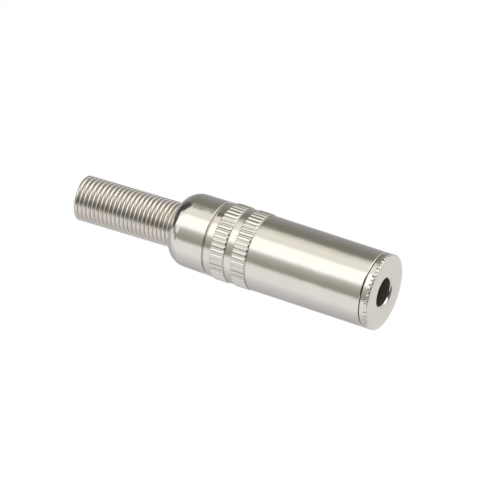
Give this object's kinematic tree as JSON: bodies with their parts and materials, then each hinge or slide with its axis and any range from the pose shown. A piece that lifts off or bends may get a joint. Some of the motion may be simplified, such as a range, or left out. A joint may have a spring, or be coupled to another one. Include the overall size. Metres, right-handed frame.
{
  "type": "mono jack socket",
  "caption": "In-line mono jack socket with a knurled screw-on metal barrel over its contacts and a coil spring that guards the cable.",
  "frame": {"origin": "centre of the mouth face, on the plug axis", "axes": "+Z along the plug axis towards the cable end, -X towards the contact stack inside"},
  "size_m": [0.0102, 0.0102, 0.044],
  "materials": {
    "nickel_plate": "satin nickel plate",
    "spring_wire": "bright nickel plated wire",
    "frame_brass": "stamped",
    "tinned_brass": "tinned",
    "contact_bronze": "rolled spring strip",
    "phenolic": "punched laminate",
    "insulating_sleeve": "extruded"
  },
  "bodies": {
    "socket": {"front_bushing": "nickel_plate", "contact_frame": "frame_brass", "inner_wafer": "phenolic", "tip_terminal": "tinned_brass", "outer_wafer": "phenolic", "pressure_plate": "frame_brass", "stack_rivets": "frame_brass", "rivet_sleeves": "insulating_sleeve"},
    "tip_contact": {"tip_contact_leaf": "contact_bronze"},
    "strain_relief": {"strain_relief_spring": "spring_wire"},
    "barrel": {"barrel_shell": "nickel_plate", "insulating_tube": "insulating_sleeve"}
  },
  "joints": [
    {"name": "tip_contact_flex", "type": "hinge", "parent": "socket", "child": "tip_contact", "pos_m": [-0.00218, 0, 0.0156], "axis": [0, 1, 0], "range_deg": [0, 8], "stiffness_Nm_per_rad": 0.06},
    {"name": "shell_advance", "type": "slide", "parent": "socket", "child": "strain_relief", "axis": [0, 0, 1], "range_m": [0, 0.00451]},
    {"name": "shell_turn", "type": "hinge", "parent": "strain_relief", "child": "barrel", "pos_m": [0, 0, 0.02823], "axis": [0, 0, 1], "range_deg": [0, 3240]}
  ],
  "couplings": [
    {"joint": "shell_advance", "follows": "shell_turn", "m_per_rad": 0.000079577}
  ]
}
